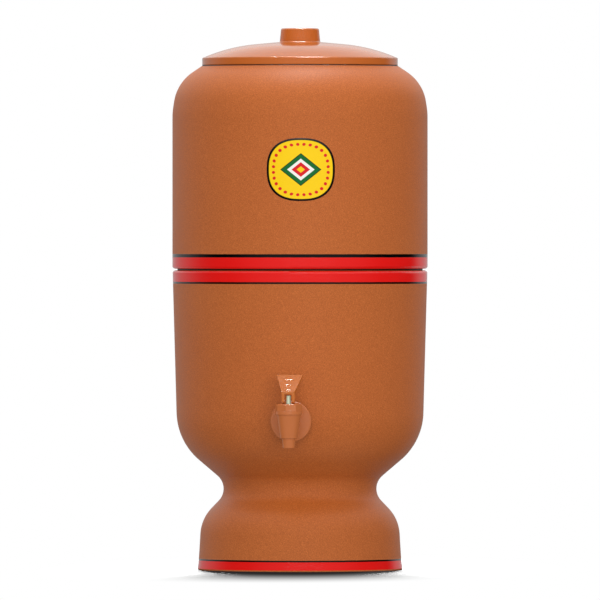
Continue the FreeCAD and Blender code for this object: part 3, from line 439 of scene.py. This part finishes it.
def make_print(name):
    """A printed badge: dark rim, yellow field, a ring of red dots and a stepped lozenge."""
    finish = Finish(name)
    uv = finish.node("SeparateXYZ", {"Vector": finish.node("TexCoord").outputs["UV"]})
    x, y = uv.outputs["X"], uv.outputs["Y"]
    across, up = finish.math("ABSOLUTE", x), finish.math("ABSOLUTE", y)
    squared = finish.math("ADD", finish.math("POWER", across, LABEL_SQUARENESS),
                          finish.math("POWER", up, LABEL_SQUARENESS))
    out = finish.math("POWER", squared, 1 / LABEL_SQUARENESS)
    lozenge = finish.math("ADD", across, finish.math("MULTIPLY", up, LOZENGE_FLATNESS))
    turn = finish.math("DIVIDE", finish.math("ARCTAN2", y, x), 2 * math.pi)
    share = finish.math("FRACT", finish.math("MULTIPLY", turn, DOTS))
    along = finish.math("MULTIPLY", finish.math("SUBTRACT", share, 0.5),
                        2 * math.pi * DOT_RING / DOTS)
    from_ring = finish.math("SUBTRACT", out, DOT_RING)
    dot = finish.math("SQRT", finish.math("ADD", finish.math("MULTIPLY", along, along),
                                          finish.math("MULTIPLY", from_ring, from_ring)))
    colour = written(LABEL_YELLOW)
    steps = [(dot, DOT_RADIUS, LABEL_RED)]
    steps += [(lozenge, edge, inner) for edge, inner in LOZENGE_STEPS]
    for value, edge, inner in steps:
        inside = finish.ramp(value, edge - PRINT_EDGE, edge + PRINT_EDGE, 1.0, 0.0)
        colour = finish.mix(inside, colour, written(inner))
    rim = finish.ramp(out, PRINT_RIM - PRINT_EDGE, PRINT_RIM + PRINT_EDGE)
    fine = finish.noise(PRINT_GRAIN_SIZE, detail=2)
    finish.set(Base_Color=finish.mix(rim, colour, written(LABEL_INK)),
               Roughness=finish.spread(fine, *PRINT_ROUGHNESS),
               Specular_IOR_Level=PRINT_SPECULAR)
    finish.bump(fine, PRINT_GRAIN_DEPTH)
    return finish.material


def make_label():
    """A thin curved patch that follows the clay, with a rounded-off oval outline."""
    wall_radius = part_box("upper_chamber")[1].x
    shape = bmesh.new()
    uv_layer = shape.loops.layers.uv.new("print")
    places = {}

    def add_point(out, turn, lift):
        c, s = math.cos(turn), math.sin(turn)
        squared = abs(c) ** LABEL_SQUARENESS + abs(s) ** LABEL_SQUARENESS
        reach = out / squared ** (1 / LABEL_SQUARENESS)
        across, up = reach * c, reach * s
        angle = math.radians(LABEL_AZIMUTH) + across * LABEL_WIDTH / 2 * MM / wall_radius
        radius = wall_radius + lift * MM
        height = (LABEL_CENTRE_HEIGHT + up * LABEL_HEIGHT / 2) * MM
        vertex = shape.verts.new((radius * math.sin(angle), -radius * math.cos(angle), height))
        places[vertex] = (across, up)
        return vertex

    def add_loop(out, lift):
        return [add_point(out, 2 * math.pi * i / LABEL_SPOKES, lift) for i in range(LABEL_SPOKES)]

    centre = add_point(0.0, 0.0, LABEL_FILM)
    loops = [add_loop(ring / LABEL_RINGS, LABEL_FILM) for ring in range(1, LABEL_RINGS + 1)]
    loops.append(add_loop(1.0, -LABEL_FILM))
    for i in range(LABEL_SPOKES):
        ahead = (i + 1) % LABEL_SPOKES
        shape.faces.new((centre, loops[0][i], loops[0][ahead]))
        for inner, outer in zip(loops, loops[1:]):
            shape.faces.new((inner[i], outer[i], outer[ahead], inner[ahead]))
    for face in shape.faces:
        face.smooth = True
        for loop in face.loops:
            loop[uv_layer].uv = places[loop.vert]
    label = add_mesh("label", shape, make_print("label_print"))
    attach(label, "upper_vessel")


def add_mesh(name, shape, material):
    """Put a bmesh in the scene as an object."""
    mesh = bpy.data.meshes.new(name)
    shape.to_mesh(mesh)
    shape.free()
    mesh.materials.append(material)
    return add_thing(name, mesh)


def add_thing(name, data):
    """Put a mesh, a lamp or a camera in the scene as an object."""
    thing = bpy.data.objects.new(name, data)
    bpy.context.scene.collection.objects.link(thing)
    return thing


def make_seat_cup(material):
    """The tap's soft cup as a copy of its own shape in its own material, with the CAD node
    hidden.
    """
    cup = add_thing("soft_seat_cup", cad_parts["seat_cup"].data.copy())
    cup.data.materials.clear()
    cup.data.materials.append(material)
    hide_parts("seat_cup")
    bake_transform(cup)


def dress(material, *nodes):
    """Give CAD nodes a material all over."""
    for node in nodes:
        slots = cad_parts[node].data.materials
        if not slots:
            slots.append(material)
        for index in range(len(slots)):
            slots[index] = material


def dress_nodes():
    """Give every CAD node its finish."""
    dress(make_clay("lower_clay", [SEAM_PAINT, FOOT_PAINT], [LOWER_RED, FOOT_RED],
                    [LOWER_BLACK, FOOT_BLACK], [SEAM_PAINTED_SHADE]), "lower_chamber")
    dress(make_clay("upper_clay", [SEAM_PAINT], [UPPER_RED], [UPPER_BLACK],
                    [SEAM_PAINTED_SHADE, LID_PAINTED_SHADE]), "upper_chamber")
    dress(make_plastic("lid_plastic", LID_ORANGE, roughness=0.13, edge=LID_EDGE), "lid")
    dress(make_plastic("tap_plastic", TAP_ORANGE, roughness=0.2, edge=TAP_EDGE),
          "tap_body", "tap_bonnet", "lever_pin")
    dress(make_plastic("lever_plastic", LEVER_ORANGE, roughness=0.16, edge=LEVER_EDGE),
          "tap_lever")
    dress(make_plastic("stem_plastic", STEM_PALE, roughness=0.25), "valve_stem")
    rubber = make_rubber("rubber", RUBBER_BLACK)
    white_plastic = make_plastic("white_plastic", PLASTIC_WHITE, roughness=0.32)
    steel = make_steel("steel")
    candle = make_candle("candle_ceramic")
    dress(rubber, "tap_outer_gasket", "tap_inner_gasket")
    dress(white_plastic, "tap_lock_nut")
    make_seat_cup(make_rubber("silicone", SILICONE_GREY))
    for side in ("left", "right"):
        dress(candle, f"candle_shell_{side}")
        dress(rubber, f"candle_washer_{side}", f"float_seal_{side}")
        dress(steel, f"float_pin_{side}")
        dress(white_plastic, f"candle_base_{side}", f"candle_nut_{side}",
              f"float_bracket_{side}", f"float_arm_{side}", f"float_pad_{side}")


def around(azimuth, elevation, distance):
    """A point at a distance from the middle of the view."""
    turn, rise = math.radians(azimuth), math.radians(elevation)
    way = Vector((math.sin(turn) * math.cos(rise), -math.cos(turn) * math.cos(rise),
                  math.sin(rise)))
    return VIEW_CENTRE + way * distance


def aim(thing):
    """Point a camera or lamp at the middle of the view."""
    thing.rotation_euler = (VIEW_CENTRE - thing.location).to_track_quat("-Z", "Y").to_euler()


def add_camera():
    """A camera that looks at the pot as the photograph does, its view a square."""
    data = bpy.data.cameras.new("camera")
    camera = add_thing("camera", data)
    camera.location = around(CAMERA_AZIMUTH, CAMERA_ELEVATION, CAMERA_DISTANCE)
    aim(camera)
    data.sensor_width = SENSOR_WIDTH
    data.lens = SENSOR_WIDTH * CAMERA_DISTANCE / VIEW_WIDTH
    data.clip_end = CAMERA_REACH
    bpy.context.scene.camera = camera


def add_softbox(lamp):
    """A rectangular lamp that faces the middle of the view."""
    data = bpy.data.lights.new(lamp.name, "AREA")
    data.shape = "RECTANGLE"
    data.size = lamp.width
    data.size_y = lamp.height
    data.energy = lamp.power
    box = add_thing(lamp.name, data)
    box.location = around(lamp.azimuth, lamp.elevation, lamp.distance)
    aim(box)
    return box


def light_only(lamp, things, state):
    """Let a lamp light these things alone (INCLUDE) or all but these (EXCLUDE)."""
    linked = bpy.data.collections.new(f"{lamp.name}_receivers")
    for thing in things:
        linked.objects.link(thing)
    for item in linked.collection_objects:
        item.light_linking.link_state = state
    lamp.light_linking.receiver_collection = linked


def add_lights(floor):
    """A softbox overhead, a broad front light, and two lamps that only shine in plastic."""
    overhead, front, strip, grip = [add_softbox(lamp) for lamp in (OVERHEAD, FRONT, STRIP, GRIP)]
    # The front light would show as a patch in the paint and the lid's rim
    front.visible_glossy = False
    for lamp in (overhead, front):
        light_only(lamp, [floor], "EXCLUDE")
    for lamp, lit in ((strip, STRIP_LIT), (grip, GRIP_LIT)):
        lamp.visible_diffuse = False
        light_only(lamp, [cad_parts[node] for node in lit], "INCLUDE")


class Glow(Nodes):
    """Says how bright the studio is in each direction, to each kind of ray."""

    def __init__(self, tree):
        super().__init__(tree)
        self.path = self.node("LightPath").outputs

    def soft_ramp(self, value, span, start, end):
        """A ramp over a span that eases in and out."""
        return self.ramp(value, *span, start, end, interpolation_type="SMOOTHSTEP")

    def choose(self, flag, otherwise, chosen):
        """One value for the rays that a flag names, another for the rest."""
        return self.mix(self.path[flag], otherwise, chosen, "Float")

    def along(self, way, azimuth):
        """How far a direction points towards an azimuth, from -1 to 1."""
        turn = math.radians(azimuth)
        inputs = {0: way, 1: (math.sin(turn), -math.cos(turn), 0)}
        return self.node("VectorMath", inputs, operation="DOT_PRODUCT").outputs["Value"]

    def reflected(self, way):
        """What glossy surfaces see: dim in front of the pot, white behind it."""
        height = self.node("SeparateXYZ", {"Vector": way}).outputs["Z"]
        white = self.soft_ramp(height, ABOVE_SPAN, REFLECTED_BACK, REFLECTED_ABOVE)
        front = self.soft_ramp(self.along(way, FRONT.azimuth), FRONT_SPAN, REFLECTED_SIDES,
                               REFLECTED_FRONT)
        front = self.soft_ramp(height, CEILING_SPAN, front, REFLECTED_CEILING)
        front = self.soft_ramp(height, FLOOR_SPAN, front, REFLECTED_FLOOR)
        right = self.soft_ramp(self.along(way, WHITE_FROM + 90),
                               (-WHITE_FROM_SOFTNESS, WHITE_FROM_SOFTNESS), 0, 1)
        left = self.soft_ramp(self.along(way, WHITE_TO - 90),
                              (-WHITE_TO_SOFTNESS, WHITE_TO_SOFTNESS), 0, 1)
        return self.mix(self.math("MULTIPLY", right, left), front, white, "Float")


def add_world():
    """A white studio: all white to the camera, and dimmer in what lights the pot."""
    world = bpy.data.worlds.new("studio")
    bpy.context.scene.world = world
    world.use_nodes = True
    glow = Glow(world.node_tree)
    way = glow.node("TexCoord").outputs["Generated"]
    strength = glow.choose("Is Glossy Ray", SKY_GLOW, glow.reflected(way))
    strength = glow.choose("Is Camera Ray", strength, 1.0)
    strength = glow.choose("Is Transmission Ray", strength, 1.0)
    background = glow.tree.nodes["Background"]
    background.inputs["Color"].default_value = written(WHITE)
    glow.feed(background.inputs["Strength"], strength)


def make_floor_white():
    """Matt near the pot, to keep its shadow, and white further off and to all but the camera."""
    finish = Finish("floor_white")
    grey = (FLOOR_ALBEDO, FLOOR_ALBEDO, FLOOR_ALBEDO, 1.0)
    finish.set(Base_Color=grey, Roughness=1.0, Specular_IOR_Level=0.0)
    white = finish.node("Emission", {"Color": written(WHITE), "Strength": 1.0})
    glow = Glow(finish.tree)
    far = glow.soft_ramp(finish.radius(FLOOR_FADE_SQUEEZE), (FLOOR_FADE_START, FLOOR_FADE_END),
                         0, 1)
    shown = finish.node("MixShader", {0: far, 1: finish.shader.outputs["BSDF"],
                                      2: white.outputs["Emission"]})
    way = glow.node("VectorMath", {0: finish.place}, operation="NORMALIZE").outputs["Vector"]
    strength = glow.choose("Is Glossy Ray", FLOOR_GLOW, glow.reflected(way))
    strength = glow.choose("Is Transmission Ray", strength, 1.0)
    unseen = finish.node("Emission", {"Color": written(WHITE), "Strength": strength})
    surface = finish.node("MixShader", {0: glow.path["Is Camera Ray"],
                                        1: unseen.outputs["Emission"],
                                        2: shown.outputs["Shader"]})
    finish.feed(finish.output.inputs["Surface"], surface.outputs["Shader"])
    return finish.material


def add_floor():
    """A pale floor lit by a lamp of its own from behind the pot, so that it keeps the shadow."""
    shape = bmesh.new()
    bmesh.ops.create_circle(shape, cap_ends=True, segments=FLOOR_SEGMENTS, radius=FLOOR_RADIUS)
    floor = add_mesh("floor", shape, make_floor_white())
    light_only(add_softbox(FLOOR_LIGHT), [floor], "INCLUDE")
    return floor


bpy.context.scene.view_settings.view_transform = "Standard"
dress_nodes()
make_label()
add_camera()
add_world()
add_lights(add_floor())
